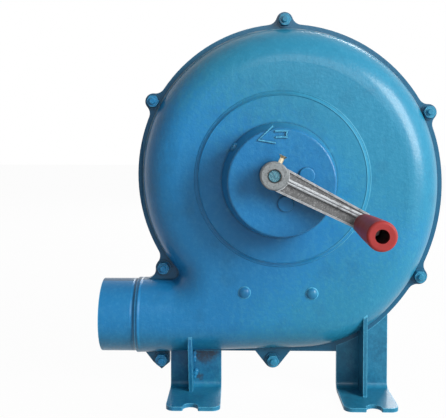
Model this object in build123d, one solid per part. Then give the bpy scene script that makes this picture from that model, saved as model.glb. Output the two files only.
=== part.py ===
from build123d import *
import os
from math import acos, atan2, cos, degrees, hypot, pi, radians, sin, sqrt, tan

# Hand cranked forge blower: a two-half volute on welded feet, a three-stage gear
# train in a drafted case on its face, and an impeller behind it.
# Millimetres. Every piece is drawn on the seam plane: x to the right, y up,
# z towards the crank, with the fan's axis at the origin. SEAM_PLANE then stands
# it up in the part's own frame: +Z up, front towards -Y, origin on the ground
# under the middle of the whole blower.

# --- Housing -----------------------------------------------------------------
SCROLL_CENTRE = (12.8, 2.3)  # centre of the first arc, beside the tongue
SCROLL_JOINTS = (215.0, 160.0, 95.0, 10.0, -45.0, -90.0)  # where the arcs meet
SCROLL_RADII = (143.1, 133.8, 141.7, 169.6, 114.0)  # flange edge, clockwise
FLANGE_WIDTH = 5.0
FLANGE_THICKNESS = 4.0
WALL = 3.0
SHELL_DEPTH = 35.0  # seam to the flat face of either half
SHELL_UPRIGHT = 3.0  # straight wall between the seam and the broad rounding
WEB_REACH = 52.0  # right end of the straight web under the scroll
WEB_RISE = 20.0

OUTLET_DROP = 127.7  # outlet axis below the fan's axis
OUTLET_RADIUS = 33.0
OUTLET_REACH = 163.0
OUTLET_ROOT = 1.5  # short cone at the foot of the spigot
NECK_HALF = 33.6  # half the neck's height
NECK_UPRIGHT = 1.0  # least straight wall between the neck's two roundings
SHOULDER_REACH = 130.8  # where the neck steps down to the round spigot
SHOULDER_EDGE = 0.4
TONGUE_RADIUS = 6.0

LUG_RADIUS = 7.5
LUG_PAD = 1.5  # stands above the flange
LUG_PAD_RADIUS = 7.0
FLANK_RADIUS = 9.0
HANGING_FLANK = 16.0  # half the width of a hanging lug's root
LUG_POINT = 9.5  # tip of the pointed lug below its bolt
TOP_LUG = (3.4, 142.6)
UPPER_LEFT_LUG = (-116.2, 69.1)
UPPER_RIGHT_LUG = (134.1, 59.1)
LOWER_RIGHT_LUG = (127.0, -90.5)
TONGUE_LUG = (-107.1, -83.5)
OUTLET_LUG = (-109.3, -168.3)
BASE_LUG = (-6.7, -168.7)

RING_RADIUS = 76.3  # raised disc on the front face
RING_STEP = 2.0
RING_SLOPE = 2.4

INTAKE_RADIUS = 38.0
INTAKE_LIP = 3.0
INTAKE_REACH = 42.0  # back end of the intake collar, behind the seam

# --- Gear case ---------------------------------------------------------------
CASE_CENTRE = (-3.0, -1.0)
CASE_BASE_RADIUS = 50.3
CASE_FACE_RADIUS = 44.6
CASE_FACE = 75.0  # height of the case's face above the seam
CASE_WALL = 3.6
CASE_EDGE = 2.0
BUSH_PAD_RISE = 2.2
BUSH_PAD_RADIUS = 6.6
CRANK_PAD_RADIUS = 11.0
CRANK_PAD_RISE = 2.0
INNER_PAD = 5.5  # how far the bush pads stand inside the case

ARROW_RADIUS = 40.0
ARROW_START = 84.0
ARROW_END = 119.0
ARROW_WIDTH = 5.0
ARROW_HEAD = 14.0
ARROW_LINE = 1.4
ARROW_RISE = 1.2

PLATE_RADIUS = 56.5
PLATE_THICKNESS = 4.0
PLATE_PAD = 4.0
TUBE_RADIUS = 14.0
TUBE_FRONT = 35.5
TUBE_BACK = 12.5
PLATE_SCREWS = 6
PLATE_SCREW_CIRCLE = 51.6
PLATE_SCREW_RADIUS = 2.0
PLATE_SCREW_BITE = 4.0
PLATE_SCREW_HEAD = 3.5
PLATE_SCREW_HEAD_HEIGHT = 2.4
FIRST_PLATE_SCREW = 30.0  # angle of the first of them
DRIVE_SLOT = 0.8

PLUG_ANGLE = 144.0
PLUG_HEIGHT = 50.0
PLUG_RADIUS = 2.5
PLUG_HEAD = 4.0
PLUG_HEAD_HEIGHT = 2.5
PLUG_HOLE = 14.0  # length of the drill that opens the wall for it

RIVETS = ((-33.1, -99.8), (26.0, -100.5))
RIVET_RADIUS = 3.0
RIVET_HEAD = 5.6
RIVET_RISE = 3.0
RIVET_TAIL = 4.5
RIVET_TAIL_RISE = 1.8

# --- Gear train --------------------------------------------------------------
MODULE = 0.8
PRESSURE_ANGLE = radians(25.0)
ADDENDUM = 0.9  # in modules
DEDENDUM = 1.15
BACKLASH = 0.1
FLANK_STEPS = 3
CRANK_GEAR_TEETH = 52
FIRST_PINION_TEETH = 16
FIRST_GEAR_TEETH = 54
SECOND_PINION_TEETH = 18
SECOND_GEAR_TEETH = 34
FAN_PINION_TEETH = 11
SECOND_SHAFT_ANGLE = -90.0  # seen from the fan's axis
FIRST_SHAFT_ANGLE = 53.5  # seen from the second shaft
CRANK_ANGLE = 179.5  # seen from the first shaft

GEAR_WIDTH = 6.0
PINION_OVERHANG = 1.0
STAGE_GAP = 2.0
FAN_STAGE = 38.5  # back face of the last gear
CRANK_SHAFT_RADIUS = 5.0
LAYSHAFT_RADIUS = 3.0
FAN_SHAFT_RADIUS = 4.0
RUNNING = 0.05  # radial clearance of a shaft in its bush
END_FLOAT = 0.4
BUSH_WALL = 1.5
CRANK_BUSH_WALL = 3.0
BUSH_FLOOR = 1.5
KEY_SIZE = 3.0
GEAR_HOLES = 5
GEAR_HOLE_RADIUS = 3.6
GEAR_HOLE_CIRCLE = 12.6
FIRST_GEAR_HOLE = 90.0

BEARING_RADIUS = 11.0
BEARING_WIDTH = 7.0
BEARING_SPACING = 7.0
RACE_WALL = 1.8
BALL_RADIUS = 1.95
BALLS = 7
BALL_CLEARANCE = 0.08

# --- Impeller ----------------------------------------------------------------
IMPELLER_RADIUS = 95.0
BLADES = 8
BLADE_WIDTH = 32.0
BLADE_THICKNESS = 2.0
BLADE_ROOT = 27.0
BLADE_FOOT = 11.0
FOOT_MARGIN = 6.0
DISC_RADIUS = 93.0
DISC_THICKNESS = 2.0
DISC_SEAT = 8.0  # back face of the disc, above the seam
HUB_RADIUS = 11.0
HUB_FLANGE_RADIUS = 24.0
HUB_FLANGE_THICKNESS = 4.0
HUB_BACK = -8.0
HUB_RIVETS = 4
FIRST_HUB_RIVET = 45.0
BLADE_RIVETS = (0.25, 0.75)  # along the blade
SMALL_RIVET_RADIUS = 2.0
SMALL_RIVET_HEAD = 3.5
SMALL_RIVET_RISE = 1.4
WASHER_RADIUS = 8.5
WASHER_THICKNESS = 1.6
FAN_NUT_FLATS = 13.0
FAN_NUT_HEIGHT = 6.5
SHAFT_TIP = 3.0

# --- Crank -------------------------------------------------------------------
HUB_GAP = 1.0
CRANK_HUB_RADIUS = 11.4
CRANK_HUB_RING = 10.9
COLLAR_RADIUS = 12.4  # step where the arm leaves the hub
COLLAR_FRONT = 90.5
CRANK_HUB_BACK = 78.5
CRANK_HUB_STEP = 92.5
CRANK_HUB_FRONT = 95.0
SHAFT_SETBACK = 1.0
ARM_ANGLE = -28.4
ARM_LENGTH = 81.0
ARM_BACK = 80.5
ARM_FRONT = 89.0
ARM_ROOT = (-10.6, 10.0)  # lower and upper edge at the hub
ARM_END = (-5.9, 9.4)  # and at the handle
ARM_EDGE = 1.2
RIB_RISE = 2.6
RIB_WIDTH = 4.4
RIB_RUN = (0.8, 4.8)  # middle of the rib at the hub and at the handle
RIB_GROOVE = 0.9
RIB_EDGE = 0.85
LIP_WIDTH = 1.6
LIP_RISE = 1.0
ARM_EYE_RADIUS = 8.4
ARM_EYE_FRONT = 91.5
SET_SCREW_ANGLE = 65.0
SET_SCREW_HEIGHT = 85.5
SET_SCREW_RADIUS = 2.0
SET_SCREW_REACH = 17.6
SET_SCREW_HEAD = 3.6
SET_SCREW_CONE = 2.2
SET_SCREW_SLOT = 10.0
PIN_RADIUS = 4.0
PIN_HEAD = 4.8
PIN_HEAD_HEIGHT = 3.0
PIN_TAIL_HEAD = 5.5
PIN_TAIL_RISE = 1.6
GRIP_FRONT = 161.0
GRIP_BASE_RADIUS = 8.7
GRIP_WAIST_RADIUS = 10.1
GRIP_TIP_RADIUS = 11.0
GRIP_HOLE = 5.1
GRIP_EDGE = 2.2
GRIP_SEAT = 128.0  # floor of the wide hole, where the pin's head sits
GRIP_GAP = 0.3

# --- Fasteners of the seam ---------------------------------------------------
BOLT_RADIUS = 3.0
BOLT_CLEARANCE = 0.3
BOLT_FLATS = 10.0
BOLT_HEAD_HEIGHT = 4.0
NUT_HEIGHT = 5.0
BOLT_STICKOUT = 3.0
BOLT_POINT = 0.8

# --- Feet --------------------------------------------------------------------
FAN_HEIGHT = 197.3  # fan axis above the ground
FOOT_THICKNESS = 3.6
FOOT_REACH = 56.0
BEND_RADIUS = 5.0
LEFT_FOOT = (-100.8, -54.0)
RIGHT_FOOT = (52.0, 98.6)
TOE_ROUNDING = 7.0
LEFT_NOTCH = -79.6  # middles of the notches
RIGHT_NOTCH = 77.2
NOTCH_RADIUS = 6.5
NOTCH_DEPTH = 8.5
NOTCH_LIP = 1.2
GUSSET_THICKNESS = 3.5
LEFT_GUSSET = (-81.3, 32.2, 19.0)  # centre, reach at the top, reach at the foot
RIGHT_GUSSET = (73.8, 30.0, 30.0)

OVER = 1.0  # how far a cutting shape runs past what it cuts

# --- Worked out --------------------------------------------------------------
INNER_FACE = SHELL_DEPTH - WALL
SHELL_ROUNDING = min(SHELL_DEPTH - SHELL_UPRIGHT, NECK_HALF - NECK_UPRIGHT)
RAISED_FACE = SHELL_DEPTH + RING_STEP
NECK_TOP = NECK_HALF - OUTLET_DROP
NECK_BOTTOM = -OUTLET_DROP - NECK_HALF
CASE_CEILING = CASE_FACE - CASE_WALL
STAGE = GEAR_WIDTH + STAGE_GAP
GEAR_STAGE = FAN_STAGE + STAGE
CRANK_STAGE = GEAR_STAGE + STAGE
SLOPE = (CASE_BASE_RADIUS - CASE_FACE_RADIUS) / (CASE_FACE - RAISED_FACE)

CRANK_BUSH_BACK = CRANK_STAGE + GEAR_WIDTH + HUB_GAP
CRANK_BUSH_FRONT = CASE_FACE + CRANK_PAD_RISE
CRANK_BUSH_RADIUS = CRANK_SHAFT_RADIUS + RUNNING + CRANK_BUSH_WALL
BUSH_BACK = CASE_CEILING - INNER_PAD
BUSH_FRONT = CASE_FACE + BUSH_PAD_RISE - BUSH_FLOOR
LAY_BUSH_RADIUS = LAYSHAFT_RADIUS + RUNNING + BUSH_WALL
SEAT_BACK = INNER_FACE - PLATE_THICKNESS
LAY_SEAT = SEAT_BACK - PLATE_PAD + BUSH_FLOOR

REAR_BEARING = TUBE_FRONT - 2 * BEARING_WIDTH - BEARING_SPACING - HUB_GAP / 2
FRONT_BEARING = REAR_BEARING + BEARING_WIDTH + BEARING_SPACING
PINION_FRONT = FAN_STAGE + GEAR_WIDTH + PINION_OVERHANG / 2
NUT_SEAT = HUB_BACK - WASHER_THICKNESS
NUT_BACK = NUT_SEAT - FAN_NUT_HEIGHT


def direction(angle):
    """Unit vector at an angle in degrees."""
    return Vector(cos(radians(angle)), sin(radians(angle)))


def polar(centre, radius, angle):
    """Point at a radius and angle from a centre, as (x, y)."""
    point = Vector(*centre) + direction(angle) * radius
    return (point.X, point.Y)


def bearing_of(start, end):
    """Angle in degrees of the line from one point to another."""
    return degrees(atan2(end[1] - start[1], end[0] - start[0]))


def scroll_centres():
    """Centres of the scroll's arcs: each lies on the line through the last joint."""
    centres = [SCROLL_CENTRE]
    for joint, before, after in zip(SCROLL_JOINTS[1:], SCROLL_RADII, SCROLL_RADII[1:]):
        centres.append(polar(centres[-1], before - after, joint))
    return centres


CENTRES = scroll_centres()
BASE_EDGE = CENTRES[-1][1] - SCROLL_RADII[-1]
RIGHT_EDGE = CENTRES[-2][0] + SCROLL_RADII[-2]
PITCH_PER_TOOTH = MODULE / 2

SECOND_SHAFT = polar(
    (0.0, 0.0),
    (SECOND_GEAR_TEETH + FAN_PINION_TEETH) * PITCH_PER_TOOTH,
    SECOND_SHAFT_ANGLE,
)
FIRST_SHAFT = polar(
    SECOND_SHAFT,
    (FIRST_GEAR_TEETH + SECOND_PINION_TEETH) * PITCH_PER_TOOTH,
    FIRST_SHAFT_ANGLE,
)
CRANK = polar(
    FIRST_SHAFT,
    (CRANK_GEAR_TEETH + FIRST_PINION_TEETH) * PITCH_PER_TOOTH,
    CRANK_ANGLE,
)
HANDLE = polar(CRANK, ARM_LENGTH, ARM_ANGLE)

FAN_X = (OUTLET_REACH - RIGHT_EDGE) / 2
SEAM_Y = (GRIP_FRONT - INTAKE_REACH) / 2
SEAM_PLANE = Plane(origin=(FAN_X, SEAM_Y, FAN_HEIGHT), x_dir=(1, 0, 0), z_dir=(0, -1, 0))

ROUND_LUGS = (TOP_LUG, UPPER_LEFT_LUG, UPPER_RIGHT_LUG, LOWER_RIGHT_LUG)
ALL_LUGS = ROUND_LUGS + (TONGUE_LUG, OUTLET_LUG, BASE_LUG)


# --- Helpers -----------------------------------------------------------------
def rod(centre, radius, low, high):
    """Cylinder along z between two heights."""
    placed = Pos(centre[0], centre[1], (low + high) / 2)
    return placed * Cylinder(radius, high - low)


def taper(centre, low_radius, high_radius, low, high):
    """Cone frustum along z between two heights."""
    placed = Pos(centre[0], centre[1], (low + high) / 2)
    return placed * Cone(low_radius, high_radius, high - low)


def prism(outline, low, high):
    """Upright prism on an outline, between two heights."""
    return extrude(Pos(0, 0, low) * outline, high - low, dir=(0, 0, 1))


def sheet(points, middle, width):
    """Plate across x, drawn as points (y, z) and centred on a middle."""
    profile = Plane.YZ * Polygon(*points, align=None)
    return extrude(Pos(middle - width / 2, 0, 0) * profile, width, dir=(1, 0, 0))


def hex_bar(centre, flats, low, high):
    """Hexagonal prism along z, its corners trimmed like a nut's."""
    corner = flats / sqrt(3)
    bar = prism(Pos(*centre) * RegularPolygon(corner, 6), low, high)
    trim = rod(centre, corner, low, high)
    return bar & chamfer(trim.edges(), corner - flats / 2)


def dome(centre, radius, rise, seat):
    """Spherical cap standing on a seat; a negative rise hangs below it."""
    height = abs(rise)
    ball = (radius**2 + height**2) / (2 * height)
    middle = seat + (rise - ball if rise > 0 else rise + ball)
    slab = rod(centre, radius, min(seat, seat + rise), max(seat, seat + rise))
    return (Pos(centre[0], centre[1], middle) * Sphere(ball)) & slab


def around(centre, radius, count, start=0.0):
    """Evenly spaced points on a circle, with their angles."""
    step = 360 / count
    return [(polar(centre, radius, start + i * step), start + i * step) for i in range(count)]


def save(name, *shapes):
    """Stand a node's shapes up in the part's frame and write them."""
    placed = [SEAM_PLANE.location * shape for shape in shapes]
    node = placed[0] if len(placed) == 1 else Compound(children=placed)
    export_step(node, f"parts/{name}.step")


# --- Housing outlines --------------------------------------------------------
def scroll_arcs(inset, first, last):
    """The scroll's arcs, drawn clockwise and moved in by an inset."""
    joints = [first, *SCROLL_JOINTS[1:-1], last]
    arcs = []
    for i, centre in enumerate(CENTRES):
        sweep_angle = joints[i + 1] - joints[i]
        arcs.append(CenterArc(centre, SCROLL_RADII[i] - inset, joints[i], sweep_angle))
    return arcs


def shell_outline(inset, neck_end):
    """One half's outer wall seen from the front, moved in by an inset.

    The neck runs on past its own end to the spigot's, to be cut there later.
    """
    top = NECK_TOP - inset
    bottom = NECK_BOTTOM + inset
    first_radius = SCROLL_RADII[0] - FLANGE_WIDTH - inset
    last_radius = SCROLL_RADII[-1] - FLANGE_WIDTH - inset

    tongue = TONGUE_RADIUS + inset
    tongue_y = top + tongue
    rise = tongue_y - CENTRES[0][1]
    tongue_x = CENTRES[0][0] - sqrt((first_radius + tongue) ** 2 - rise**2)
    first = bearing_of(CENTRES[0], (tongue_x, tongue_y)) % 360

    corner = (-neck_end, bottom)
    away = hypot(corner[0] - CENTRES[-1][0], corner[1] - CENTRES[-1][1])
    last = bearing_of(CENTRES[-1], corner) + degrees(acos(last_radius / away))
    tangent = polar(CENTRES[-1], last_radius, last)
    fall = (corner[1] - tangent[1]) / (corner[0] - tangent[0])
    far_corner = (-OUTLET_REACH, corner[1] - fall * (OUTLET_REACH - neck_end))

    edges = [
        Line((-OUTLET_REACH, top), (tongue_x, top)),
        CenterArc((tongue_x, tongue_y), tongue, -90, first - 90),
        *scroll_arcs(FLANGE_WIDTH + inset, first, last),
        Line(tangent, far_corner),
        Line(far_corner, (-OUTLET_REACH, top)),
    ]
    return make_face(edges)


def beyond(reach):
    """Block that takes away all that lies past a distance along the outlet."""
    length = OUTLET_REACH
    middle = Pos(-reach - length / 2, -OUTLET_DROP, 0)
    return middle * Box(length, 2 * OUTLET_DROP, 2 * OUTLET_DROP)


def shell_body(inset, neck_end):
    """Solid bounded by one half's wall, with its broad rounding."""
    body = prism(shell_outline(inset, neck_end), 0, SHELL_DEPTH - inset)
    rim = body.faces().sort_by(Axis.Z)[-1].edges()
    far_end = rim.sort_by(Axis.X)[0]
    rounded = [edge for edge in rim if edge != far_end]
    body = fillet(rounded, SHELL_ROUNDING - inset)
    return body - beyond(neck_end)


def flank_on_arc(lug, index, side):
    """Centre of the hollow that blends a lug into one of the scroll's arcs."""
    centre = CENTRES[index]
    away = hypot(lug[0] - centre[0], lug[1] - centre[1])
    reach = SCROLL_RADII[index] + FLANK_RADIUS
    near = LUG_RADIUS + FLANK_RADIUS
    spread = degrees(acos((away**2 + reach**2 - near**2) / (2 * away * reach)))
    return polar(centre, reach, bearing_of(centre, lug) + side * spread)


def flank_on_edge(lug, level, hollow, side):
    """Centre of the hollow that blends a lug into a level edge."""
    drop = level - lug[1]
    across = sqrt((LUG_RADIUS + hollow) ** 2 - drop**2)
    return (lug[0] + side * across, level)


def blend(points, hollows, radius):
    """Fillet piece between a lug and its flange: a polygon less its hollows."""
    piece = Polygon(*points, align=None)
    for hollow in hollows:
        piece -= Pos(*hollow) * Circle(radius)
    return piece


def arc_under(lug):
    """Index of the scroll's arc that a lug stands on."""
    for index, centre in enumerate(CENTRES):
        turned = (SCROLL_JOINTS[index] - bearing_of(centre, lug)) % 360
        if turned <= SCROLL_JOINTS[index] - SCROLL_JOINTS[index + 1]:
            return index


def round_lug(lug):
    """Lug on the scroll's edge, with a hollow flank on each side."""
    index = arc_under(lug)
    left = flank_on_arc(lug, index, 1)
    right = flank_on_arc(lug, index, -1)
    piece = blend([CENTRES[index], right, lug, left], [left, right], FLANK_RADIUS)
    return piece + Pos(*lug) * Circle(LUG_RADIUS)


def tongue_lug():
    """Lug in the corner between the scroll and the neck."""
    above = flank_on_arc(TONGUE_LUG, 0, -1)
    beside = flank_on_edge(TONGUE_LUG, NECK_TOP + FLANK_RADIUS, FLANK_RADIUS, -1)
    points = [
        CENTRES[0],
        above,
        TONGUE_LUG,
        beside,
        (beside[0], NECK_TOP),
        (CENTRES[0][0], NECK_TOP),
    ]
    return blend(points, [above, beside], FLANK_RADIUS) + Pos(*TONGUE_LUG) * Circle(LUG_RADIUS)


def hanging_lug(lug):
    """Lug below the straight base edge, with straight flanks that meet its round end."""
    x, y = lug
    away = hypot(HANGING_FLANK, BASE_EDGE - y)
    lean = degrees(acos(LUG_RADIUS / away))
    points = []
    for side in (-1, 1):
        root = (x + side * HANGING_FLANK, BASE_EDGE)
        touch = polar(lug, LUG_RADIUS, bearing_of(lug, root) - side * lean)
        points = points + [touch, root] if side > 0 else [root, touch]
    return Polygon(*points, align=None) + Pos(*lug) * Circle(LUG_RADIUS)


def pointed_lug(lug):
    """Lug below the base edge that is square on one side and comes to a point."""
    x, y = lug
    return Polygon(
        (x - HANGING_FLANK, BASE_EDGE),
        (x - LUG_RADIUS, y - LUG_POINT / 3),
        (x, y - LUG_POINT),
        (x + LUG_RADIUS, y - LUG_POINT / 3),
        (x + LUG_RADIUS, BASE_EDGE),
        align=None,
    )


def flange_outline():
    """The flange seen from the front, with its base web and lugs."""
    start = polar(CENTRES[0], SCROLL_RADII[0], SCROLL_JOINTS[0])
    end = (CENTRES[-1][0], BASE_EDGE)
    edges = [
        Line((start[0], NECK_TOP), start),
        *scroll_arcs(0.0, SCROLL_JOINTS[0], SCROLL_JOINTS[-1]),
        Line(end, (-SHOULDER_REACH, BASE_EDGE)),
        Line((-SHOULDER_REACH, BASE_EDGE), (-SHOULDER_REACH, NECK_TOP)),
        Line((-SHOULDER_REACH, NECK_TOP), (start[0], NECK_TOP)),
    ]
    face = make_face(edges)
    web_width = WEB_REACH - end[0]
    web_middle = Pos(end[0] + web_width / 2, BASE_EDGE + WEB_RISE / 2)
    face += web_middle * Rectangle(web_width, WEB_RISE)
    for lug in ROUND_LUGS:
        face += round_lug(lug)
    face += tongue_lug()
    return face + pointed_lug(OUTLET_LUG) + hanging_lug(BASE_LUG)


def flange():
    """Flange plate of the front half, with the pads under the nuts."""
    plate = prism(flange_outline(), 0, FLANGE_THICKNESS)
    for lug in ALL_LUGS:
        plate += rod(lug, LUG_PAD_RADIUS, FLANGE_THICKNESS - OVER, FLANGE_THICKNESS + LUG_PAD)
    return plate


def outlet(radius, start, end):
    """Half of a level cylinder along the outlet's axis."""
    length = end - start
    bar = Pos(-(start + end) / 2, -OUTLET_DROP, 0) * Rot(0, 90, 0) * Cylinder(radius, length)
    front = Pos(-(start + end) / 2, -OUTLET_DROP, radius) * Box(
        length + OVER, 2 * radius + OVER, 2 * radius
    )
    return bar & front


def outlet_root():
    """Short half cone where the spigot leaves the shoulder."""
    near = OUTLET_RADIUS + SHOULDER_EDGE / 2
    length = OUTLET_ROOT
    cone = Rot(0, -90, 0) * Cone(near, OUTLET_RADIUS, length)
    front = Pos(0, 0, near) * Box(length, 2 * near, 2 * near)
    return Pos(-SHOULDER_REACH - length / 2, -OUTLET_DROP, 0) * (cone & front)


def half_solid():
    """Outer form of one half: wall, flange and spigot, not yet hollow."""
    body = shell_body(0.0, SHOULDER_REACH)
    end_face = body.faces().sort_by(Axis.X)[0]
    rim = [edge for edge in end_face.edges() if edge.center().Z > OVER]
    body = chamfer(rim, SHOULDER_EDGE)
    spigot = outlet(OUTLET_RADIUS, SHOULDER_REACH - OVER, OUTLET_REACH)
    return body + flange() + outlet_root() + spigot


def half_hollow():
    """What is taken out of one half: the fan chamber and the outlet bore."""
    chamber = shell_body(WALL, SHOULDER_REACH - WALL)
    below = prism(shell_outline(WALL, SHOULDER_REACH - WALL), -OVER, 0)
    bore_start = SHOULDER_REACH - WALL - OVER
    bore = outlet(OUTLET_RADIUS - WALL, bore_start, OUTLET_REACH + OVER)
    return chamber + below + bore


def bolt_holes():
    """Holes through one half's lugs."""
    high = FLANGE_THICKNESS + LUG_PAD + OVER
    return [rod(lug, BOLT_RADIUS + BOLT_CLEARANCE, -OVER, high) for lug in ALL_LUGS]


HALF_SOLID = half_solid()
HALF_HOLLOW = half_hollow()
HALF = HALF_SOLID - HALF_HOLLOW - bolt_holes()


# --- Front half with its gear case -------------------------------------------
def case_radius(height):
    """Outer radius of the drafted case at a height."""
    return CASE_BASE_RADIUS - (height - RAISED_FACE) * SLOPE


def gear_case():
    """Raised disc, drafted case and the pads over the shaft ends."""
    ring = taper((0, 0), RING_RADIUS, RING_RADIUS - RING_SLOPE, SHELL_DEPTH, RAISED_FACE)
    case = taper(
        CASE_CENTRE, case_radius(SHELL_DEPTH), CASE_FACE_RADIUS, SHELL_DEPTH, CASE_FACE
    )
    top = case.faces().sort_by(Axis.Z)[-1]
    case = fillet(top.edges(), CASE_EDGE)
    for shaft in (FIRST_SHAFT, SECOND_SHAFT):
        pad = rod(shaft, BUSH_PAD_RADIUS, CASE_CEILING, CASE_FACE + BUSH_PAD_RISE)
        rim = pad.faces().sort_by(Axis.Z)[-1]
        case += fillet(rim.edges(), BUSH_PAD_RISE / 2)
    crank_pad = rod(CRANK, CRANK_PAD_RADIUS, CASE_CEILING, CASE_FACE + CRANK_PAD_RISE)
    return ring + case + crank_pad


def case_hollow():
    """Room for the gears, less the pads that hold the front bushes."""
    low = INNER_FACE - OVER
    room = taper(
        CASE_CENTRE,
        case_radius(low) - CASE_WALL,
        case_radius(CASE_CEILING) - CASE_WALL,
        low,
        CASE_CEILING,
    )
    for shaft in (FIRST_SHAFT, SECOND_SHAFT):
        room -= rod(shaft, BUSH_PAD_RADIUS, CASE_CEILING - INNER_PAD, CASE_CEILING + OVER)
    return room - rod(CRANK, CRANK_PAD_RADIUS, CRANK_BUSH_BACK, CASE_CEILING + OVER)


def arrow_shape(grow):
    """Curved turning arrow, grown or shrunk all round by an amount."""
    half = ARROW_WIDTH / 2 + grow
    margin = degrees(grow / ARROW_RADIUS)
    start = ARROW_START - margin
    end = ARROW_END + margin
    neck = degrees(ARROW_HEAD / ARROW_RADIUS)
    inner, outer = ARROW_RADIUS - half, ARROW_RADIUS + half
    head_in, head_out = ARROW_RADIUS - ARROW_HEAD / 2, ARROW_RADIUS + ARROW_HEAD / 2
    head_in, head_out = head_in - grow, head_out + grow
    centre = CASE_CENTRE
    barb = end - neck
    edges = [
        CenterArc(centre, outer, start, barb - start),
        Line(polar(centre, outer, barb), polar(centre, head_out, barb - margin)),
        Line(polar(centre, head_out, barb - margin), polar(centre, ARROW_RADIUS, end)),
        Line(polar(centre, ARROW_RADIUS, end), polar(centre, head_in, barb - margin)),
        Line(polar(centre, head_in, barb - margin), polar(centre, inner, barb)),
        CenterArc(centre, inner, barb, start - barb),
        Line(polar(centre, inner, start), polar(centre, ARROW_RADIUS, start + half / 2)),
        Line(polar(centre, ARROW_RADIUS, start + half / 2), polar(centre, outer, start)),
    ]
    return make_face(edges)


def arrow():
    """The arrow's raised outline on the case's face."""
    line = arrow_shape(ARROW_LINE / 2) - arrow_shape(-ARROW_LINE / 2)
    return prism(line, CASE_FACE - OVER, CASE_FACE + ARROW_RISE)


def plug_axis():
    """Where the oil plug stands: square to the case's wall."""
    radius = case_radius(PLUG_HEIGHT)
    foot = polar(CASE_CENTRE, radius, PLUG_ANGLE)
    tilt = degrees(atan2(SLOPE, 1.0))
    out = Rot(0, 0, PLUG_ANGLE) * Rot(0, 90 - tilt, 0)
    return Pos(foot[0], foot[1], PLUG_HEIGHT) * out


def front_shell():
    """Front half: volute wall, flange and gear case in one casting."""
    shell = HALF_SOLID + gear_case() + arrow()
    shell = shell - HALF_HOLLOW - case_hollow() - bolt_holes()
    for shaft in (FIRST_SHAFT, SECOND_SHAFT):
        shell -= rod(shaft, LAY_BUSH_RADIUS, BUSH_BACK - OVER, BUSH_FRONT)
    shell -= rod(CRANK, CRANK_BUSH_RADIUS, CRANK_BUSH_BACK - OVER, CRANK_BUSH_FRONT + OVER)
    for rivet in RIVETS:
        shell -= rod(rivet, RIVET_RADIUS, INNER_FACE - OVER, SHELL_DEPTH + OVER)
    for point, _ in plate_screw_places():
        shell -= rod(point, PLATE_SCREW_RADIUS, INNER_FACE - OVER, INNER_FACE + PLATE_SCREW_BITE)
    return shell - plug_axis() * Cylinder(PLUG_RADIUS, PLUG_HOLE)


def rear_shell():
    """Rear half: the same volute wall with the air intake in its face."""
    outer = INTAKE_RADIUS + INTAKE_LIP
    shell = HALF + rod((0, 0), outer, INNER_FACE, INTAKE_REACH)
    shell -= rod((0, 0), INTAKE_RADIUS, INNER_FACE - OVER, INTAKE_REACH + OVER)
    return mirror(shell, Plane.XY)


def seam_bolt(lug):
    """Hexagon bolt from the back, its end standing past the nut."""
    back = -FLANGE_THICKNESS - LUG_PAD
    tip = FLANGE_THICKNESS + LUG_PAD + NUT_HEIGHT + BOLT_STICKOUT
    shank = rod(lug, BOLT_RADIUS, back - OVER, tip)
    end = shank.edges().sort_by(Axis.Z)[-1]
    shank = chamfer(end, BOLT_POINT)
    return shank + hex_bar(lug, BOLT_FLATS, back - BOLT_HEAD_HEIGHT, back)


def seam_nut(lug):
    """Nut seated on the front of a lug."""
    seat = FLANGE_THICKNESS + LUG_PAD
    nut = hex_bar(lug, BOLT_FLATS, seat, seat + NUT_HEIGHT)
    return nut - rod(lug, BOLT_RADIUS, seat - OVER, seat + NUT_HEIGHT + OVER)


def face_rivet(centre):
    """Dome headed rivet through the front wall."""
    shank = rod(centre, RIVET_RADIUS, INNER_FACE, SHELL_DEPTH)
    head = dome(centre, RIVET_HEAD, RIVET_RISE, SHELL_DEPTH)
    return shank + head + dome(centre, RIVET_TAIL, -RIVET_TAIL_RISE, INNER_FACE)


def oil_plug():
    """Slotted plug in the case's wall."""
    shank = Pos(0, 0, -CASE_WALL / 2) * Cylinder(PLUG_RADIUS, CASE_WALL)
    head = Pos(0, 0, PLUG_HEAD_HEIGHT / 2) * Cylinder(PLUG_HEAD, PLUG_HEAD_HEIGHT)
    head = chamfer(head.faces().sort_by(Axis.Z)[-1].edges(), DRIVE_SLOT)
    slot = Pos(0, 0, PLUG_HEAD_HEIGHT) * Box(2 * PLUG_HEAD + OVER, DRIVE_SLOT, 2 * DRIVE_SLOT)
    return plug_axis() * (shank + head - slot)


# --- Back plate of the gear case ---------------------------------------------
def plate_screw_places():
    """Centres of the screws round the back plate."""
    return around(CASE_CENTRE, PLATE_SCREW_CIRCLE, PLATE_SCREWS, FIRST_PLATE_SCREW)


def gear_case_plate():
    """Plate behind the gears, with the tube for the fan shaft's bearings."""
    plate = rod(CASE_CENTRE, PLATE_RADIUS, SEAT_BACK, INNER_FACE)
    for shaft in (FIRST_SHAFT, SECOND_SHAFT):
        plate += rod(shaft, BUSH_PAD_RADIUS, SEAT_BACK - PLATE_PAD, INNER_FACE)
    plate += rod((0, 0), TUBE_RADIUS, TUBE_BACK, TUBE_FRONT)
    shoulder = BEARING_RADIUS - RACE_WALL
    plate -= rod((0, 0), shoulder, TUBE_BACK - OVER, TUBE_FRONT + OVER)
    plate -= rod((0, 0), BEARING_RADIUS, TUBE_BACK - OVER, REAR_BEARING + BEARING_WIDTH)
    plate -= rod((0, 0), BEARING_RADIUS, FRONT_BEARING, TUBE_FRONT + OVER)
    for shaft in (FIRST_SHAFT, SECOND_SHAFT):
        plate -= rod(shaft, LAY_BUSH_RADIUS, LAY_SEAT, INNER_FACE + OVER)
    for point, _ in plate_screw_places():
        plate -= rod(point, PLATE_SCREW_RADIUS, SEAT_BACK - OVER, INNER_FACE + OVER)
    return plate


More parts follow.
